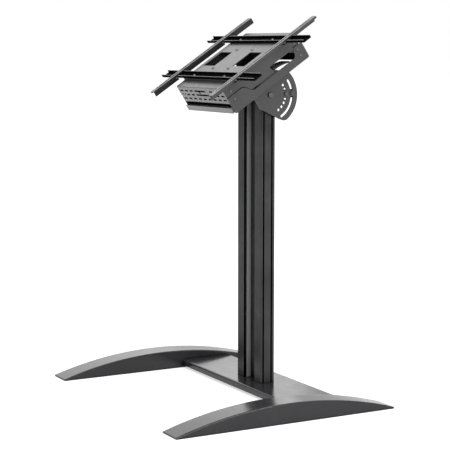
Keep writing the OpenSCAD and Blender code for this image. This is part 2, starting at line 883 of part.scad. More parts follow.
module rear_riser() {
    riser(riser_rear_y, 1);
}

module riser_screws() {
    color("#4a4b4e") in_head() for (s = [-1, 1], y = [riser_front_y, riser_rear_y]) {
        translate([s * riser_screw_x, y, flange_top + riser_t])
            round_screw(riser_screw_r, riser_t + flange_t + riser_nut_h, riser_head_r, riser_head_h);
        translate([s * riser_top_screw_x, y, deck_top])
            round_screw(riser_screw_r, tray_t + riser_t + riser_nut_h, riser_head_r, riser_head_h);
    }
}

module riser_nuts() {
    color("silver") in_head() for (s = [-1, 1], y = [riser_front_y, riser_rear_y]) {
        translate([s * riser_screw_x, y, flange_top - flange_t - riser_nut_h])
            hex_nut(riser_screw_r, riser_head_r, riser_nut_h);
        translate([s * riser_top_screw_x, y, deck_top - tray_t - riser_t - riser_nut_h])
            hex_nut(riser_screw_r, riser_head_r, riser_nut_h);
    }
}

// Upper outline of the front pad's slope, shared by the arm and the tray's side
function front_slope(rise) = [for (p = front_slope_shares)
    [-arm_front + p[0] * arm_front, arm_strip + p[1] * (arm_pad - arm_strip) + rise]];
front_slope_shares = [[0.36, 1], [0.43, 0.82], [0.49, 0.48], [0.54, 0.14], [0.59, 0]];
// Inner edge of the rear pad, in shares of the arm's rear length and of the pad's rise
rear_slope_shares = [[0.68, 0], [0.735, 0.3], [0.745, 0.78], [0.78, 1]];

module arm_outline() {
    difference() {
        polygon(concat(
            [[-arm_front, arm_low], [arm_rear, arm_low], [arm_rear, arm_pad]],
            [for (i = [len(rear_slope_shares) - 1 : -1 : 0])
                [rear_slope_shares[i][0] * arm_rear,
                    arm_strip + rear_slope_shares[i][1] * (arm_pad - arm_strip)]],
            [for (i = [len(front_slope_shares) - 1 : -1 : 0]) front_slope(0)[i]],
            [[-arm_front, arm_pad]]));
        translate([-arm_front, arm_pad]) corner_cut(arm_corner_r, 1, -1);
        translate([-arm_front, arm_low]) corner_cut(arm_corner_r, 1, 1);
        translate([arm_rear, arm_low]) corner_cut(arm_corner_r, -1, 1);
    }
}

// Cuts a square corner round; dx and dy point into the plate
module corner_cut(r, dx, dy) {
    difference() {
        translate([dx > 0 ? -over : -r, dy > 0 ? -over : -r]) square([r + over, r + over]);
        translate([dx * r, dy * r]) circle(r = r);
    }
}

// Places of the screws that hold an arm and the tray's side to the splices, in the head's Y and Z
function arm_screw_places() = [
    [arm_screw_front_y, arm_screw_front_low], [arm_screw_front_y, arm_screw_front_high],
    [arm_screw_rear_y, arm_screw_rear_low], [arm_screw_rear_y, arm_screw_rear_high],
    [arm_screw_rear_y, tray_screw_rear_high]];

// Drills the screw holes of one side through whatever lies at x0 over the length t
module arm_screw_holes(x0, t) {
    for (p = arm_screw_places()) facing_x(x0 - over, p[0], p[1])
        cylinder(r = arm_screw_r + bolt_gap, h = t + 2 * over);
}

module arm() {
    in_head() difference() {
        along_x(head_half_w - arm_t, arm_t) arm_outline();
        arm_screw_holes(head_half_w - arm_t, arm_t);
    }
}

module left_arm() {
    color("#232427") on_side(-1) arm();
}

module right_arm() {
    color("#232427") on_side(1) arm();
}

module arm_splices() {
    color("#232427") for (s = [-1, 1]) on_side(s) in_head() difference() {
        union() {
            translate([head_half_w - arm_t - splice_t, splice_front_y, lip_low + lip_h])
                cube([splice_t, splice_front_d, splice_high - lip_low - lip_h]);
            translate([head_half_w - arm_t - splice_t, splice_rear_y, splice_low])
                cube([splice_t, splice_rear_d, splice_high - splice_low]);
        }
        arm_screw_holes(head_half_w - arm_t - splice_t, splice_t);
    }
}

module arm_screws() {
    color("#6b6d70") for (s = [-1, 1]) on_side(s) in_head() for (p = arm_screw_places())
        facing_x(head_half_w, p[0], p[1])
            round_screw(arm_screw_r, arm_t + splice_t + arm_nut_h, arm_head_r, arm_head_h);
}

module arm_nuts() {
    color("silver") for (s = [-1, 1]) on_side(s) in_head() for (p = arm_screw_places())
        facing_x(head_half_w - arm_t - splice_t - arm_nut_h, p[0], p[1])
            hex_nut(arm_screw_r, arm_head_r, arm_nut_h);
}

// Channel across the front, open to the rear, with its ends on the arms' inner faces
module front_lip() {
    y0 = -arm_front - lip_out;
    w = 2 * (head_half_w - arm_t);
    color("#232427") in_head() union() {
        along_x(-w / 2, w) translate([y0, lip_low]) difference() {
            square([lip_d, lip_h]);
            translate([bar_t, bar_t]) square([lip_d, lip_h - 2 * bar_t]);
        }
        for (s = [-1, 1]) on_side(s) translate([w / 2 - bar_t, y0 + bar_t / 2, lip_low])
            cube([bar_t, lip_d - bar_t / 2, lip_h]);
    }
}

// Floor of the space behind the vent panel: a sheet on the front lip with its rear edge folded down
module box_floor() {
    w = 2 * (head_half_w - arm_t - splice_t - seat_gap);
    color("#2a2b2e") in_head() along_x(-w / 2, w) translate([-arm_front + box_floor_front, lip_low + lip_h]) {
        square([box_floor_d, box_floor_t]);
        translate([box_floor_d - box_floor_t, -box_floor_fold])
            square([box_floor_t, box_floor_fold + box_floor_t]);
    }
}

// Channel across the rear, between the rear splices
module rear_bar() {
    w = 2 * (head_half_w - arm_t - splice_t);
    color("#232427") in_head() along_x(-w / 2, w) translate([splice_rear_y, splice_low]) difference() {
        square([rear_bar_d, rear_bar_h]);
        translate([-over, bar_t]) square([rear_bar_d - bar_t + over, rear_bar_h - 2 * bar_t]);
    }
}

// Section of the tray's top sheet in the head's Y and Z: a raised deck between two lower strips
module tray_section() {
    translate([-arm_front, strip_low]) square([arm_front - deck_front + tray_t, tray_t]);
    translate([-deck_front, strip_low]) square([tray_t, deck_top - strip_low]);
    translate([-deck_front, deck_top - tray_t]) square([deck_front + deck_rear, tray_t]);
    translate([deck_rear - tray_t, strip_low]) square([tray_t, deck_top - strip_low]);
    translate([deck_rear - tray_t, strip_low]) square([tray_rear - deck_rear + tray_t, tray_t]);
    translate([tray_rear - tray_t, strip_low - vent_return]) square([tray_t, vent_return + tray_t]);
}

// Outline of the tray's side: it follows the arm's pad with a seam, then hangs down in a lobe
module tray_side_outline() {
    slope = front_slope(seam_gap);
    polygon(concat(
        [[-arm_front, arm_pad + seam_gap]],
        [for (p = slope) if (p[1] > lobe_low) p],
        [[slope[3][0], lobe_low], [lobe_rear, lobe_low], [lobe_rear - strip_drop, tray_low],
            [rear_slope_shares[3][0] * arm_rear - tray_t, tray_low],
            [rear_slope_shares[3][0] * arm_rear - tray_t, arm_pad + seam_gap],
            [tray_rear, arm_pad + seam_gap], [tray_rear, strip_top], [deck_rear, strip_top],
            [deck_rear, deck_top],
            [-deck_front, deck_top], [-deck_front, strip_top], [-arm_front, strip_top]]));
}

module tray() {
    color("#2a2b2e") in_head() difference() {
        union() {
            along_x(-head_half_w, 2 * head_half_w) tray_section();
            for (s = [-1, 1]) on_side(s) along_x(head_half_w - tray_t, tray_t) tray_side_outline();
        }
        for (s = [-1, 1]) {
            on_side(s) translate([window_in, -window_front, strip_low])
                cube([window_out - window_in, window_front + window_rear, deck_top]);
            on_side(s) arm_screw_holes(head_half_w - tray_t, tray_t);
            for (y = [riser_front_y, riser_rear_y]) translate([s * riser_top_screw_x, y, strip_low])
                cylinder(r = riser_screw_r + bolt_gap, h = deck_top);
            for (y = [-rail_front, rail_rear]) translate([s * rail_screw_x, y, strip_low])
                cylinder(r = rail_screw_r + bolt_gap, h = deck_top);
        }
    }
}

// Slots of the vent panel, with two long slots in the upper rows round the lock
module vent_slots() {
    for (row = [0 : vent_rows - 1]) {
        n = vent_mid + ((vent_rows - 1) / 2 - row) * vent_pitch_n;
        for (c = [-vent_half_count : vent_half_count]) if (row == vent_rows - 1 || abs(c) > 1)
            translate([c * vent_pitch_x, n]) slot_outline(vent_slot_w, vent_slot_h);
        if (row < vent_rows - 1) slot_or_long(row, n);
    }
}

// Long slot over the three middle columns; the upper one is shorter by half a slot
module slot_or_long(row, n) {
    full = 2 * vent_pitch_x + vent_slot_w;
    cut = row == 0 ? vent_slot_w / 2 : 0;
    translate([-cut / 2, n]) slot_outline(full - cut, vent_slot_h);
}

lock_n = vent_mid + vent_pitch_n / 2;

module vent_panel() {
    w = 2 * vent_half_w;
    return_w = w - 2 * splice_t;
    color("#2a2b2e") in_head() difference() {
        union() {
            translate([-w / 2, -arm_front, vent_low]) cube([w, vent_t, vent_top - vent_low]);
            for (n = [vent_low, vent_top - vent_t]) translate([-return_w / 2, -arm_front, n])
                cube([return_w, vent_return, vent_t]);
        }
        translate([0, -arm_front + vent_t + over, 0]) rotate([90, 0, 0])
            linear_extrude(vent_t + 2 * over) vent_slots();
        at_lock(over) cylinder(r = lock_body_r, h = vent_t + 2 * over);
    }
}

// Places its children at the lock with +Z into the tray; out is the distance ahead of the panel's face
module at_lock(out) {
    translate([lock_x, -arm_front - out, lock_n]) rotate([-90, 0, 0]) children();
}

module lock_housing() {
    color("silver") in_head() difference() {
        union() {
            at_lock(lock_flange_t) cylinder(r = lock_flange_r, h = lock_flange_t);
            at_lock(lock_flange_t) cylinder(r = lock_body_r, h = lock_body_len);
        }
        at_lock(lock_flange_t + over) cylinder(r = lock_r + lock_gap, h = lock_body_len + 2 * over);
    }
}

module lock_barrel() {
    color("#c8c9cb") in_head() difference() {
        at_lock(lock_flange_t) cylinder(r = lock_r, h = lock_body_len);
        at_lock(lock_flange_t + over) translate([-key_w / 2, -key_l / 2, 0])
            cube([key_w, key_l, key_d + over]);
    }
}

module lock_cam() {
    color("silver") in_head() at_lock(lock_flange_t)
        translate([-lock_cam_w / 2, -lock_cam_w / 2, lock_body_len])
            cube([lock_cam_len, lock_cam_w, lock_cam_t]);
}

// Rail: a folded channel open towards the display
module rail(y) {
    color("#2f3033") in_head() difference() {
        along_x(-rail_len / 2, rail_len) translate([y - rail_w / 2, rail_base]) difference() {
            square([rail_w, rail_h]);
            translate([rail_t, rail_t]) square([rail_w - 2 * rail_t, rail_h]);
        }
        for (s = [-1, 1]) translate([s * rail_screw_x, y, rail_base - over])
            cylinder(r = rail_screw_r + bolt_gap, h = rail_t + 2 * over);
    }
}

module front_rail() {
    rail(-rail_front);
}

module rear_rail() {
    rail(rail_rear);
}

module rail_screws() {
    color("#4a4b4e") in_head() for (s = [-1, 1], y = [-rail_front, rail_rear])
        translate([s * rail_screw_x, y, rail_base + rail_t])
            round_screw(rail_screw_r, rail_t + tray_t + rail_nut_h, rail_head_r, rail_head_h);
}

module rail_nuts() {
    color("silver") in_head() for (s = [-1, 1], y = [-rail_front, rail_rear])
        translate([s * rail_screw_x, y, deck_top - tray_t - rail_nut_h])
            hex_nut(rail_screw_r, rail_head_r, rail_nut_h);
}

// Right bracket around its own middle line: face, inner side and outer lip, cut out over the rails
module bracket() {
    color("#2a2b2e") in_head() translate([bracket_span / 2, 0, 0]) difference() {
        translate([0, -bracket_shift + bracket_len / 2, 0]) rotate([90, 0, 0]) linear_extrude(bracket_len) {
            translate([-bracket_w / 2, bracket_face - bracket_t]) square([bracket_w, bracket_t]);
            translate([-bracket_w / 2, bracket_face - bracket_h]) square([bracket_t, bracket_h]);
            translate([bracket_w / 2 - bracket_t, bracket_face - bracket_lip_h])
                square([bracket_t, bracket_lip_h]);
        }
        for (y = [-rail_front, rail_rear]) {
            translate([-bracket_w, y - rail_w / 2 - notch_gap, bracket_face - 2 * bracket_h])
                cube([2 * bracket_w, rail_w + 2 * notch_gap, rail_top - bracket_face + 2 * bracket_h]);
            facing_x(-bracket_w / 2 - over, clamp_y(y), clamp_n)
                cylinder(r = bracket_screw_r + bolt_gap, h = bracket_t + 2 * over);
        }
        for (i = [-display_count : display_count]) translate([0, display_y(i), rail_top])
            cylinder(r = display_hole_r, h = bracket_h);
        for (i = [-display_count : display_count - 1])
            translate([0, display_y(i) + display_pitch / 2, rail_top])
                linear_extrude(bracket_h) rotate(90) slot_outline(face_slot_len, face_slot_w);
    }
}
display_count = floor((bracket_len / 2 - bracket_w / 2) / display_pitch);
function display_y(i) = -bracket_shift + i * display_pitch;
// Place of a side screw, ahead of the rail whose middle is at y
function clamp_y(y) = y - rail_w / 2 - clamp_ahead;

module left_bracket() {
    on_side(-1) bracket();
}

module right_bracket() {
    on_side(1) bracket();
}

// Screws through the bracket's inner side, just ahead of the two rails
module bracket_screws() {
    in_head() for (y = [-rail_front, rail_rear])
        translate([(bracket_span - bracket_w) / 2, clamp_y(y), clamp_n]) rotate([0, -90, 0])
            round_screw(bracket_screw_r, bracket_t + block_nut_len, bracket_head_r, bracket_head_h);
}

// Block nuts inside the bracket that bear on the rails' front walls
module slot_nuts() {
    nut_x = (bracket_span - bracket_w) / 2 + bracket_t;
    nut_d = 2 * (clamp_ahead - seat_gap);
    in_head() for (y = [-rail_front, rail_rear]) difference() {
        translate([nut_x, clamp_y(y) - nut_d / 2, clamp_n - block_nut_h / 2])
            cube([block_nut_len, nut_d, block_nut_h]);
        facing_x(nut_x - over, clamp_y(y), clamp_n)
            cylinder(r = bracket_screw_r, h = block_nut_len + 2 * over);
    }
}

module left_bracket_screws() {
    color("#c9cacc") on_side(-1) bracket_screws();
}

module right_bracket_screws() {
    color("#c9cacc") on_side(1) bracket_screws();
}

module left_slot_nuts() {
    color("silver") on_side(-1) slot_nuts();
}

module right_slot_nuts() {
    color("silver") on_side(1) slot_nuts();
}

left_foot();
right_foot();
left_foot_sole();
right_foot_sole();
cross_plate();
plate_stiffener();
foot_bolts();
foot_nuts();
column();
column_cap();
column_bolts();
column_washers();
left_yoke_cheek();
right_yoke_cheek();
yoke_screws();
yoke_slot_nuts();
left_pivot_bolt();
right_pivot_bolt();
pivot_nuts();
thrust_washers();
clamp_bolts();
clamp_washers();
clamp_nuts();
left_index_pin();
right_index_pin();
left_quadrant();
right_quadrant();
front_riser();
rear_riser();
riser_screws();
riser_nuts();
left_arm();
right_arm();
arm_splices();
arm_screws();
arm_nuts();
front_lip();
rear_bar();
box_floor();
tray();
vent_panel();
lock_housing();
lock_barrel();
lock_cam();
front_rail();
rear_rail();
rail_screws();
rail_nuts();
left_bracket();
right_bracket();
left_bracket_screws();
right_bracket_screws();
left_slot_nuts();
right_slot_nuts();
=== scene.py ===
import json
import math

import bpy
from mathutils import Euler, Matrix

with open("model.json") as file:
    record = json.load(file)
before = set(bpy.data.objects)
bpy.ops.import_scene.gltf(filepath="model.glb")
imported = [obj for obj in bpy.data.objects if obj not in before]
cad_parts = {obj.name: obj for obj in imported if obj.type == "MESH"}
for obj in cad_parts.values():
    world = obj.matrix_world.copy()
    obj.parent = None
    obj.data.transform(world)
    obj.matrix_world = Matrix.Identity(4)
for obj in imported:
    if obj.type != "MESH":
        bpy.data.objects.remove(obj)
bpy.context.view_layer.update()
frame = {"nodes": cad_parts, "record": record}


# The stand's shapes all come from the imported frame. This script gives each of its nodes a finish,
# and adds the floor, the air, the lamps and the camera.

# Where things are on the stand at rest, in metres and radians

HEAD_LEAN = math.radians(33.5)
HEAD_NORMAL = (0.0, -math.sin(HEAD_LEAN), math.cos(HEAD_LEAN))
TILT_PIVOT = (0.0, 0.1509, 0.9917)
RAIL_RIM_HEIGHT = 0.1570
CHANNEL_HALF_WIDTH = 0.038
COVER_GROOVE_END = 0.1360
CHANNEL_FLOOR = 0.1534

# How fine the patterns are, in cells for each metre

COAT_DRIFT = 7.0
COAT_SMUDGES = 34.0
COAT_PEBBLES = 900.0
PLASTIC_PEBBLES = 1600.0
EXTRUSION_PEBBLES = 1300.0
RUB_PATCHES = 210.0
DUST_PATCHES = 12.0
DIE_LINES_FINE = 700.0
DIE_BANDS = 90.0
DIE_STRETCH = 0.012
ZINC_CRYSTALS = 620.0
ZINC_FILM = 160.0
TURNING_MARKS = 2600.0


# Colours

def grey(value, blue=0.0):
    """A grey, with its blue a little up or down."""
    return (value, value, value + blue, 1)


WHITE = grey(1.0)
# Black of the painted shade in seams, corners and hollows
PAINTED_SHADE_BLACK = grey(0.003)
RUBBED_COAT = grey(0.16, 0.01)
RUBBED_EXTRUSION = grey(0.24, 0.01)
RUBBED_PLATING = grey(0.75, 0.01)
DUST_GREY = grey(0.30, -0.01)
# Painted light on the column's channel walls, and the painted shade in their corners
PAINTED_WALL_LIGHT_DIM = grey(0.29)
PAINTED_WALL_LIGHT_BRIGHT = grey(0.50)
PAINTED_WALL_CORNER_SHADE = grey(0.01)

# Shares and strengths of the finishes

# Strength of the painted shade in seams and hollows, and of the painted shade inside the rails
COAT_PAINTED_SHADE = 0.9
RAIL_PAINTED_SHADE = 0.99
COAT_BUMP = 0.5
DUST_ROUGHENING = 0.5
SEAM_ROUGHENING = 0.4
DIE_DRIFT = 0.4
# Share of the painted shade in the corners of the column's channel walls
PAINTED_WALL_CORNER_SHADE_SHARE = 0.3
EXTRUSION_BUMP = 0.45
EXTRUSION_SHINE = 0.08
PLATING_BUMP = 0.4

# Depths of the skins' bumps and radii of worn edges, in metres

COAT_DEPTH = 0.00006
PLASTIC_DEPTH = 0.0001
EXTRUSION_DEPTH = 0.00005
PLATING_DEPTH = 0.00003
COAT_EDGE = 0.0009
BRACKET_EDGE = 0.0014
EXTRUSION_EDGE = 0.0006
FASTENER_EDGE = 0.0004


# Small helpers for node trees

NUMBER = "NodeSocketFloat"
COLOUR = "NodeSocketColor"
DIRECTION = "NodeSocketVector"

# The Mix node's sockets for its share and its two colours, and its output for a colour
MIX_SHARE, MIX_FIRST, MIX_SECOND = 0, 6, 7
MIX_COLOUR = 2


def tree_node(tree, kind, inputs=None, **settings):
    """Adds a node, sets its settings, and fills or links its inputs."""
    made = tree.nodes.new(kind)
    for key, value in settings.items():
        setattr(made, key, value)
    for key, value in (inputs or {}).items():
        if isinstance(value, bpy.types.NodeSocket):
            tree.links.new(value, made.inputs[key])
        else:
            made.inputs[key].default_value = value
    return made


def maths(tree, operation, first, second=0.0, third=0.0, clamp=False):
    inputs = {0: first, 1: second, 2: third}
    return tree_node(tree, "ShaderNodeMath", inputs, operation=operation, use_clamp=clamp).outputs[0]


def gained(tree, value, gain, offset, clamp=False):
    """A value times a gain, plus an offset."""
    return maths(tree, "MULTIPLY_ADD", value, gain, offset, clamp)


def weighted(tree, first, first_weight, second, second_weight):
    """The sum of two values, each times its weight."""
    first = maths(tree, "MULTIPLY", first, first_weight)
    return maths(tree, "ADD", first, maths(tree, "MULTIPLY", second, second_weight))


def all_of(tree, first, *others):
    """The product of masks, which is high only where each one is."""
    for mask in others:
        first = maths(tree, "MULTIPLY", first, mask)
    return first


def blend_colours(tree, share, first, second, blend_type="MIX"):
    inputs = {MIX_SHARE: share, MIX_FIRST: first, MIX_SECOND: second}
    mixed = tree_node(tree, "ShaderNodeMix", inputs, data_type="RGBA", blend_type=blend_type)
    return mixed.outputs[MIX_COLOUR]


def object_place(tree):
    """A point's place in the frame, which stays with its piece in every pose."""
    return tree_node(tree, "ShaderNodeTexCoord").outputs["Object"]


def part_of(tree, vector, axis):
    return tree_node(tree, "ShaderNodeSeparateXYZ", {0: vector}).outputs[axis]


def along(tree, vector, direction):
    """The dot product of two vectors."""
    inputs = {0: vector, 1: direction}
    return tree_node(tree, "ShaderNodeVectorMath", inputs, operation="DOT_PRODUCT").outputs["Value"]


def noise(tree, place, scale, detail=2.0, roughness=0.5, distortion=0.0):
    inputs = {"Vector": place, "Scale": scale, "Detail": detail, "Roughness": roughness,
              "Distortion": distortion}
    return tree_node(tree, "ShaderNodeTexNoise", inputs).outputs["Fac"]


def openness(tree, reach, samples):
    """How open a point is to what lies within reach: one in the open, less in corners."""
    return tree_node(tree, "ShaderNodeAmbientOcclusion", {"Distance": reach}, samples=samples).outputs["AO"]


def bumped(tree, height, depth, strength, normal):
    inputs = {"Height": height, "Distance": depth, "Strength": strength, "Normal": normal}
    return tree_node(tree, "ShaderNodeBump", inputs).outputs["Normal"]


def feed(tree, sources, sockets):
    """Links each named source to the socket of that name."""
    for label, source in sources.items():
        tree.links.new(source, sockets[label])


def new_group(name, inputs, outputs):
    """A shader node group. Inputs come with their start values, outputs with their kinds."""
    group = bpy.data.node_groups.new(name, "ShaderNodeTree")
    for label, start in inputs.items():
        kind = COLOUR if isinstance(start, tuple) else NUMBER
        group.interface.new_socket(label, in_out="INPUT", socket_type=kind).default_value = start
    for label, kind in outputs.items():
        group.interface.new_socket(label, in_out="OUTPUT", socket_type=kind)
    given = group.nodes.new("NodeGroupInput").outputs
    put = group.nodes.new("NodeGroupOutput").inputs
    return group, given, put


def place_group(tree, group, inputs=None):
    return tree_node(tree, "ShaderNodeGroup", inputs, node_tree=group).outputs


# Effects that several finishes share

def powder_skin_group():
    """Cured powder: a fine pebbled skin, with slow drifts in shade and gloss."""
    group, given, put = new_group(
        "powder_skin",
        {"Colour": grey(0.02, 0.002), "Drift colour": grey(0.04, 0.002), "Gloss loss": 0.3,
         "Pebble scale": COAT_PEBBLES},
        {"Colour": COLOUR, "Roughness": NUMBER, "Height": NUMBER})
    place = object_place(group)
    slow = noise(group, place, COAT_DRIFT, detail=3.0, roughness=0.55)
    smudge = noise(group, place, COAT_SMUDGES, detail=4.0, roughness=0.6, distortion=0.6)
    pebble = noise(group, place, given["Pebble scale"])
    cells = tree_node(group, "ShaderNodeTexVoronoi", {"Vector": place, "Scale": given["Pebble scale"]},
                      feature="SMOOTH_F1").outputs["Distance"]
    share = gained(group, slow, gain=1.6, offset=-0.45, clamp=True)
    shade = blend_colours(group, share, given["Colour"], given["Drift colour"])
    speckle = gained(group, pebble, gain=0.5, offset=0.75)
    smudged = gained(group, smudge, gain=0.16, offset=-0.08)
    rough = maths(group, "ADD", smudged, gained(group, pebble, gain=0.10, offset=-0.05))
    feed(group, {
        "Colour": blend_colours(group, 1.0, shade, speckle, blend_type="MULTIPLY"),
        "Roughness": maths(group, "ADD", rough, given["Gloss loss"], clamp=True),
        "Height": weighted(group, pebble, 0.6, cells, 0.4),
    }, put)
    return group


def edge_rub_group():
    """Finds edges: a rounded normal along them, and a broken mask where the coat is rubbed thin."""
    group, given, put = new_group(
        "edge_rub",
        {"Edge radius": 0.0008, "Amount": 0.5},
        {"Mask": NUMBER, "Normal": DIRECTION})
    bevel = tree_node(group, "ShaderNodeBevel", {"Radius": given["Edge radius"]}, samples=6)
    rounded = bevel.outputs["Normal"]
    flat = tree_node(group, "ShaderNodeNewGeometry").outputs["True Normal"]
    turned = gained(group, along(group, rounded, flat), gain=-9.0, offset=8.9, clamp=True)
    broken = noise(group, object_place(group), RUB_PATCHES, detail=3.0)
    broken = gained(group, broken, gain=5.0, offset=-2.3, clamp=True)
    feed(group, {"Mask": all_of(group, turned, broken, given["Amount"]), "Normal": rounded}, put)
    return group


def settled_dust_group():
    """A thin grey film where a face looks up, thicker in patches."""
    group, given, put = new_group("settled_dust", {"Amount": 0.2}, {"Mask": NUMBER})
    facing = tree_node(group, "ShaderNodeNewGeometry").outputs["Normal"]
    up = gained(group, part_of(group, facing, "Z"), gain=1.6, offset=-0.6, clamp=True)
    patch = noise(group, object_place(group), DUST_PATCHES, detail=6.0, roughness=0.65)
    patch = gained(group, patch, gain=1.8, offset=-0.5, clamp=True)
    feed(group, {"Mask": all_of(group, up, patch, given["Amount"])}, put)
    return group


def crevice_shade_group():
    """Finds seams, inner corners and closed-in hollows, for a painted shade that darkens them and takes their
    gloss where little light gets in.
    """
    group, given, put = new_group(
        "painted_crevice_shade",
        {"Seam reach": 0.012, "Hollow reach": 0.12, "Hollow start": 2.2, "Amount": 0.8},
        {"Mask": NUMBER})
    near = openness(group, given["Seam reach"], samples=16)
    wide = openness(group, given["Hollow reach"], samples=8)
    seam = gained(group, near, gain=-2.2, offset=1.75, clamp=True)
    hollow = gained(group, wide, gain=-4.0, offset=given["Hollow start"], clamp=True)
    closed = maths(group, "MAXIMUM", seam, hollow)
    feed(group, {"Mask": maths(group, "MULTIPLY", closed, given["Amount"])}, put)
    return group


def channel_wall_group():
    """The column's channel walls, between the cover groove at the front and the channel's floor, where a
    painted light goes.
    """
    group, given, put = new_group(
        "channel_wall",
        {"Half width": CHANNEL_HALF_WIDTH, "Groove end": COVER_GROOVE_END, "Floor": CHANNEL_FLOOR},
        {"Mask": NUMBER})
    place = object_place(group)
    beside = maths(group, "ABSOLUTE", part_of(group, place, "X"))
    depth = part_of(group, place, "Y")
    facing = tree_node(group, "ShaderNodeNewGeometry").outputs["True Normal"]
    sideways = maths(group, "ABSOLUTE", part_of(group, facing, "X"))
    mostly_sideways = 0.7
    feed(group, {"Mask": all_of(
        group,
        maths(group, "GREATER_THAN", sideways, mostly_sideways),
        maths(group, "LESS_THAN", beside, given["Half width"]),
        maths(group, "GREATER_THAN", depth, given["Groove end"]),
        maths(group, "LESS_THAN", depth, given["Floor"]))}, put)
    return group


def rail_rim_group():
    """The rims of the two rails, found by their height over the pivot along the head's own normal."""
    group, given, put = new_group("rail_rim", {"Rim height": RAIL_RIM_HEIGHT}, {"Mask": NUMBER})
    from_pivot = tree_node(group, "ShaderNodeVectorMath", {0: object_place(group), 1: TILT_PIVOT},
                           operation="SUBTRACT").outputs["Vector"]
    height = along(group, from_pivot, HEAD_NORMAL)
    feed(group, {"Mask": maths(group, "GREATER_THAN", height, given["Rim height"])}, put)
    return group


def die_lines_group():
    """Fine lines along the height of an extrusion, as its die leaves them."""
    group, given, put = new_group("die_lines", {"Fineness": 600.0}, {"Height": NUMBER, "Shade": NUMBER})
    stretched = {"Vector": object_place(group), "Scale": (1.0, 1.0, DIE_STRETCH)}
    drawn = tree_node(group, "ShaderNodeMapping", stretched).outputs["Vector"]
    fine = noise(group, drawn, given["Fineness"], detail=3.0)
    bands = noise(group, drawn, DIE_BANDS)
    feed(group, {
        "Height": weighted(group, fine, 0.6, bands, 0.4),
        "Shade": gained(group, bands, gain=1.4, offset=-0.2, clamp=True),
    }, put)
    return group


def plated_steel_group():
    """Zinc plate: faint crystals, turning marks and a cool drift in colour."""
    group, given, put = new_group(
        "plated_steel",
        {"Colour": grey(0.6), "Dull colour": (0.42, 0.43, 0.45, 1), "Gloss loss": 0.3},
        {"Colour": COLOUR, "Roughness": NUMBER, "Height": NUMBER})
    place = object_place(group)
    crystals = tree_node(group, "ShaderNodeTexVoronoi", {"Vector": place, "Scale": ZINC_CRYSTALS})
    facet = tree_node(group, "ShaderNodeSeparateColor", {0: crystals.outputs["Color"]}).outputs["Red"]
    film = noise(group, place, ZINC_FILM, detail=4.0)
    turning = noise(group, place, TURNING_MARKS)
    share = maths(group, "ADD", maths(group, "MULTIPLY", facet, 0.35),
                  gained(group, film, gain=1.2, offset=-0.35), clamp=True)
    rough = maths(group, "ADD", gained(group, film, gain=0.24, offset=-0.12),
                  gained(group, facet, gain=0.08, offset=-0.04))
    feed(group, {
        "Colour": blend_colours(group, share, given["Colour"], given["Dull colour"]),
        "Roughness": maths(group, "ADD", rough, given["Gloss loss"], clamp=True),
        "Height": weighted(group, facet, 0.3, turning, 0.7),
    }, put)
    return group


POWDER_SKIN = powder_skin_group()
EDGE_RUB = edge_rub_group()
SETTLED_DUST = settled_dust_group()
PAINTED_CREVICE_SHADE = crevice_shade_group()
CHANNEL_WALL = channel_wall_group()
RAIL_RIM = rail_rim_group()
DIE_LINES = die_lines_group()
PLATED_STEEL = plated_steel_group()


# Finishes

def new_finish(name):
    finish = bpy.data.materials.new(name)
    finish.use_nodes = True
    tree = finish.node_tree
    return finish, tree, tree.nodes["Principled BSDF"].inputs


def powder_coat(name, colour, drift, gloss_loss, rub=0.2, dust=0.02, shine=0.3, pebble=COAT_PEBBLES,
                depth=COAT_DEPTH, edge=COAT_EDGE, reach=0.012, hollow=0.05, painted_rail_light=False):
    """Powder coat on sheet metal, or a moulded skin like it: pebbled, rubbed at its edges, a little dusty,
    with a painted shade in its seams and hollows.

    For the rails, the colour is a painted highlight on their rims, and the rest is a painted shade, all but
    black.
    """
    finish, tree, surface = new_finish(name)
    skin = place_group(tree, POWDER_SKIN, {"Colour": colour, "Drift colour": drift,
                                           "Gloss loss": gloss_loss, "Pebble scale": pebble})
    rubbed = place_group(tree, EDGE_RUB, {"Edge radius": edge, "Amount": rub})
    film = place_group(tree, SETTLED_DUST, {"Amount": dust})["Mask"]
    closed = place_group(tree, PAINTED_CREVICE_SHADE, {"Amount": COAT_PAINTED_SHADE, "Seam reach": reach,
                                               "Hollow reach": hollow})["Mask"]
    # Painted light and shade on the rails: pale rims as a painted highlight, everything else a painted shade
    if painted_rail_light:
        rims = place_group(tree, RAIL_RIM)["Mask"]
        painted_rail_shade = gained(tree, rims, gain=-RAIL_PAINTED_SHADE, offset=RAIL_PAINTED_SHADE)
        closed = maths(tree, "MAXIMUM", closed, painted_rail_shade)
    else:
        # Painted shade: a near-black metal reflects almost nothing, which takes the gloss out of the seams
        # and hollows
        feed(tree, {"Metallic": closed}, surface)
    tone = blend_colours(tree, rubbed["Mask"], skin["Colour"], RUBBED_COAT)
    tone = blend_colours(tree, film, tone, DUST_GREY)
    tone = blend_colours(tree, closed, tone, PAINTED_SHADE_BLACK)
    dusted = gained(tree, film, gain=DUST_ROUGHENING, offset=skin["Roughness"], clamp=True)
    feed(tree, {
        "Base Color": tone,
        "Roughness": gained(tree, closed, gain=SEAM_ROUGHENING, offset=dusted, clamp=True),
        "Normal": bumped(tree, skin["Height"], depth, COAT_BUMP, rubbed["Normal"]),
    }, surface)
    surface["Specular IOR Level"].default_value = shine
    return finish


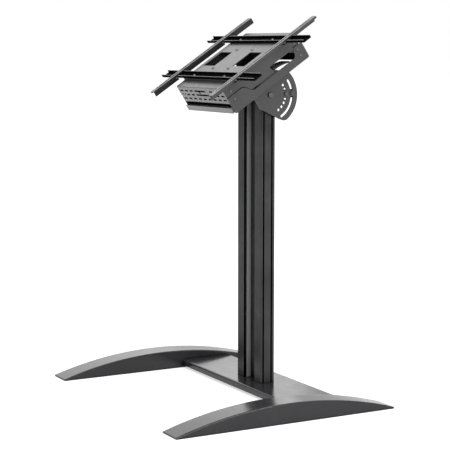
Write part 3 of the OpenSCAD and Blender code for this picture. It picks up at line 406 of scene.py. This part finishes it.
def anodised_extrusion(name, colour, drift, gloss_loss):
    """Black extruded aluminium: die lines along its height under a satin skin, a painted shade in its seams
    and hollows, and paler channel walls that are a painted light.
    """
    finish, tree, surface = new_finish(name)
    lines = place_group(tree, DIE_LINES, {"Fineness": DIE_LINES_FINE})
    skin = place_group(tree, POWDER_SKIN, {"Colour": colour, "Drift colour": drift,
                                           "Gloss loss": gloss_loss, "Pebble scale": EXTRUSION_PEBBLES})
    rubbed = place_group(tree, EDGE_RUB, {"Edge radius": EXTRUSION_EDGE, "Amount": 0.3})
    seams = place_group(tree, PAINTED_CREVICE_SHADE, {"Amount": 0.95, "Seam reach": 0.008,
                                              "Hollow reach": 0.10, "Hollow start": 2.5})["Mask"]
    walls = place_group(tree, CHANNEL_WALL)["Mask"]
    drawn = maths(tree, "MULTIPLY", lines["Shade"], DIE_DRIFT)
    tone = blend_colours(tree, drawn, skin["Colour"], drift)
    tone = blend_colours(tree, rubbed["Mask"], tone, RUBBED_EXTRUSION)
    # Painted shade in the column's seams and hollows, and painted light on its channel walls
    tone = blend_colours(tree, seams, tone, PAINTED_SHADE_BLACK)
    painted_wall_light = blend_colours(tree, lines["Shade"], PAINTED_WALL_LIGHT_DIM, PAINTED_WALL_LIGHT_BRIGHT)
    corners = maths(tree, "MULTIPLY", seams, PAINTED_WALL_CORNER_SHADE_SHARE)
    painted_wall_light = blend_colours(tree, corners, painted_wall_light, PAINTED_WALL_CORNER_SHADE)
    height = weighted(tree, lines["Height"], 0.7, skin["Height"], 0.3)
    feed(tree, {
        "Base Color": blend_colours(tree, walls, tone, painted_wall_light),
        "Roughness": skin["Roughness"],
        # Painted shade: near-black metal takes the gloss out of the seams, except on the painted-light walls
        "Metallic": maths(tree, "SUBTRACT", seams, walls, clamp=True),
        "Normal": bumped(tree, height, EXTRUSION_DEPTH, EXTRUSION_BUMP, rubbed["Normal"]),
    }, surface)
    surface["Specular IOR Level"].default_value = EXTRUSION_SHINE
    return finish


def plated(name, colour, dull, gloss_loss):
    """Plated steel fastener with rounded, slightly worn edges."""
    finish, tree, surface = new_finish(name)
    plate = place_group(tree, PLATED_STEEL, {"Colour": colour, "Dull colour": dull,
                                             "Gloss loss": gloss_loss})
    rubbed = place_group(tree, EDGE_RUB, {"Edge radius": FASTENER_EDGE, "Amount": 0.5})
    feed(tree, {
        "Base Color": blend_colours(tree, rubbed["Mask"], plate["Colour"], RUBBED_PLATING),
        "Roughness": plate["Roughness"],
        "Normal": bumped(tree, plate["Height"], PLATING_DEPTH, PLATING_BUMP, rubbed["Normal"]),
    }, surface)
    surface["Metallic"].default_value = 1.0
    return finish


# The finish of each material slot of the record

FINISHES = {
    "sheet": powder_coat("foot_powder_coat", grey(0.022, 0.002), grey(0.032, 0.002), gloss_loss=0.20),
    "inner_sheet": powder_coat("sole_powder_coat", grey(0.020, 0.001), grey(0.030, 0.001), gloss_loss=0.45,
                               dust=0.0),
    "column_finish": anodised_extrusion("column_satin_black", grey(0.023, 0.002), grey(0.082, 0.002),
                                        gloss_loss=0.24),
    "cap_plastic": powder_coat("cap_moulded_plastic", grey(0.018), grey(0.026), gloss_loss=0.5, rub=0.05,
                               pebble=PLASTIC_PEBBLES, depth=PLASTIC_DEPTH),
    "head_sheet": powder_coat("head_powder_coat", grey(0.030, 0.002), grey(0.042, 0.002), gloss_loss=0.30,
                              shine=0.65, reach=0.018, hollow=0.35),
    "washer_nylon": powder_coat("washer_natural_nylon", (0.62, 0.61, 0.57, 1), (0.70, 0.69, 0.66, 1),
                                gloss_loss=0.4, rub=0.0),
    "zinc": plated("nut_zinc_plate", grey(0.58), (0.40, 0.41, 0.43, 1), gloss_loss=0.34),
    "bright_zinc": plated("screw_dull_zinc", grey(0.17), grey(0.11, 0.01), gloss_loss=0.42),
    "dark_screw": plated("screw_black_oxide", grey(0.09, 0.002), grey(0.15, 0.002), gloss_loss=0.32),
    "lock_metal": plated("lock_dark_nickel", grey(0.11, -0.005), grey(0.07, -0.002), gloss_loss=0.30),
}

# Finishes that only some nodes of a slot carry

# Painted shade: a near-black copy of the coat on pieces inside the head and the column's slots
INNER_PAINTED_SHADE = powder_coat("inner_painted_shade_black", grey(0.003), grey(0.006), gloss_loss=0.60, rub=0.06,
                          dust=0.0, shine=0.05, hollow=0.12)
# Painted light and shade: the rails' pale rims are a painted highlight, and their insides a painted shade
RAIL_PAINTED_LIGHT_AND_SHADE = powder_coat("rail_painted_highlight_and_shade_coat", grey(0.360, 0.005), grey(0.440, 0.005), gloss_loss=0.22,
                        shine=0.0, reach=0.002, hollow=0.01, painted_rail_light=True)
RIGHT_BRACKET_COAT = powder_coat("bracket_powder_coat", grey(0.030, 0.002), grey(0.042, 0.002),
                                 gloss_loss=0.28, rub=0.8, shine=0.65, edge=BRACKET_EDGE, reach=0.03,
                                 hollow=0.12)
# Painted shade: a darker copy of the bracket coat on the left bracket
LEFT_BRACKET_PAINTED_SHADE = powder_coat("left_bracket_painted_shade_coat", grey(0.010, 0.001), grey(0.016, 0.001),
                                gloss_loss=0.30, rub=0.8, shine=0.35, edge=BRACKET_EDGE, reach=0.03,
                                hollow=0.12)
# Painted light: a paler copy of the head's coat on the vent panel and the front lip
FRONT_PAINTED_LIGHT = powder_coat("front_painted_light_coat", grey(0.085, 0.003), grey(0.110, 0.003), gloss_loss=0.20,
                           shine=0.95, reach=0.006)

NODE_FINISHES = {
    "front_rail": RAIL_PAINTED_LIGHT_AND_SHADE,
    "rear_rail": RAIL_PAINTED_LIGHT_AND_SHADE,
    "left_bracket": LEFT_BRACKET_PAINTED_SHADE,
    "right_bracket": RIGHT_BRACKET_COAT,
    "left_slot_nuts": INNER_PAINTED_SHADE,
    "right_slot_nuts": INNER_PAINTED_SHADE,
    "front_riser": INNER_PAINTED_SHADE,
    "rear_riser": INNER_PAINTED_SHADE,
    "box_floor": INNER_PAINTED_SHADE,
    "vent_panel": FRONT_PAINTED_LIGHT,
    "front_lip": FRONT_PAINTED_LIGHT,
}


def finish_nodes():
    """Gives every CAD node the finish of its material slot, or its own where it has one."""
    for entry in frame["record"]["subparts"]:
        finish = NODE_FINISHES.get(entry["node"], FINISHES[entry["material_slot"]])
        for slot in frame["nodes"][entry["node"]].material_slots:
            slot.material = finish


# Studio

FLOOR_REACH = 40.0
FLOOR_DROP = 0.0002
FLOOR_GREY = grey(0.70)
# The floor's glow rises from a part of white near the stand to full white farther out
NEAR_GLOW, FULL_GLOW = 0.62, 1.0
NEAR_GLOW_RADIUS, FULL_GLOW_RADIUS = 1.0, 3.0
# The air's strength as light, and what is added where it is seen
AIR_LIGHT, AIR_SEEN = 0.30, 0.70

# Each lamp's name, place, aim, width and height in metres, and watts
LAMPS = (
    ("overhead_softbox", (0.4, 0.9, 3.6), (0.0, 0.1, 0.4), (2.8, 2.8), 55.0),
    ("key_softbox", (3.7, -0.4, 2.3), (0.0, 0.1, 0.7), (2.0, 2.4), 118.0),
    ("rear_softbox", (-3.2, 1.0, 1.9), (0.0, 0.1, 0.6), (2.6, 2.6), 21.0),
    ("front_strip", (1.9, -3.0, 1.0), (0.0, 0.12, 0.7), (0.9, 1.8), 12.0),
)

PHOTO_CAMERA_PLACE = (4.1828, -2.2453, 1.1486)
PHOTO_CAMERA_AZIMUTH = math.radians(61.43)
PHOTO_CAMERA_DIP = math.radians(7.03)
PHOTO_LENS_MM = 115.6
PHOTO_SENSOR_MM = 36.0
FAR_CLIP = 200.0


def seen_rays(tree):
    """One for rays from the camera and those seen in gloss or glass, and zero for light."""
    rays = tree_node(tree, "ShaderNodeLightPath").outputs
    reflected = maths(tree, "MAXIMUM", rays["Is Glossy Ray"], rays["Is Transmission Ray"])
    return maths(tree, "MAXIMUM", rays["Is Camera Ray"], reflected)


def studio_paper():
    """Pale paper: it shows white to the camera and in gloss, and takes shadows."""
    paper = bpy.data.materials.new("studio_paper")
    paper.use_nodes = True
    tree = paper.node_tree
    tree.nodes.clear()
    far = tree_node(tree, "ShaderNodeVectorMath", {0: object_place(tree)}, operation="LENGTH")
    ramp = {"Value": far.outputs["Value"], "From Min": NEAR_GLOW_RADIUS, "From Max": FULL_GLOW_RADIUS,
            "To Min": NEAR_GLOW, "To Max": FULL_GLOW}
    glow = tree_node(tree, "ShaderNodeMapRange", ramp, interpolation_type="SMOOTHSTEP").outputs["Result"]
    glow = maths(tree, "MULTIPLY", seen_rays(tree), glow)
    shaded = tree_node(tree, "ShaderNodeBsdfDiffuse", {"Color": FLOOR_GREY}).outputs["BSDF"]
    lit = tree_node(tree, "ShaderNodeEmission", {"Color": WHITE, "Strength": glow}).outputs["Emission"]
    both = tree_node(tree, "ShaderNodeAddShader", {0: shaded, 1: lit}).outputs["Shader"]
    tree_node(tree, "ShaderNodeOutputMaterial", {"Surface": both})
    return paper


def studio_floor():
    """A wide pale floor that reads white and keeps the stand's shadow."""
    r = FLOOR_REACH
    mesh = bpy.data.meshes.new("studio_floor")
    mesh.from_pydata([(-r, -r, 0), (r, -r, 0), (r, r, 0), (-r, r, 0)], [], [(0, 1, 2, 3)])
    mesh.materials.append(studio_paper())
    floor = bpy.data.objects.new("studio_floor", mesh)
    floor.location.z = -FLOOR_DROP
    bpy.context.scene.collection.objects.link(floor)


def studio_air():
    """White to the camera and in reflections, softer as light."""
    world = bpy.data.worlds.new("studio_air")
    bpy.context.scene.world = world
    world.use_nodes = True
    tree = world.node_tree
    tree.nodes.clear()
    strength = gained(tree, seen_rays(tree), gain=AIR_SEEN, offset=AIR_LIGHT)
    air = tree_node(tree, "ShaderNodeBackground", {"Color": WHITE, "Strength": strength})
    tree_node(tree, "ShaderNodeOutputWorld", {"Surface": air.outputs["Background"]})


def softbox(name, place, aim, size, watts):
    """A rectangular area lamp, turned to its aim."""
    lamp = bpy.data.lights.new(name, "AREA")
    lamp.shape = "RECTANGLE"
    lamp.size, lamp.size_y = size
    lamp.energy = watts
    box = bpy.data.objects.new(name, lamp)
    box.location = place
    ahead_x, ahead_y, ahead_z = (a - p for a, p in zip(aim, place))
    lift = math.atan2(math.hypot(ahead_x, ahead_y), -ahead_z)
    box.rotation_euler = Euler((lift, 0, math.atan2(ahead_y, ahead_x) - math.pi / 2))
    bpy.context.scene.collection.objects.link(box)


def photo_camera():
    """The camera as fitted to the photograph."""
    lens = bpy.data.cameras.new("photo_camera")
    lens.lens = PHOTO_LENS_MM
    lens.sensor_width = PHOTO_SENSOR_MM
    lens.clip_end = FAR_CLIP
    camera = bpy.data.objects.new("photo_camera", lens)
    camera.location = PHOTO_CAMERA_PLACE
    camera.rotation_euler = Euler((math.pi / 2 - PHOTO_CAMERA_DIP, 0, PHOTO_CAMERA_AZIMUTH))
    bpy.context.scene.collection.objects.link(camera)
    bpy.context.scene.camera = camera


finish_nodes()
studio_floor()
studio_air()
for lamp_values in LAMPS:
    softbox(*lamp_values)
photo_camera()

view = bpy.context.scene.view_settings
view.view_transform = "Standard"
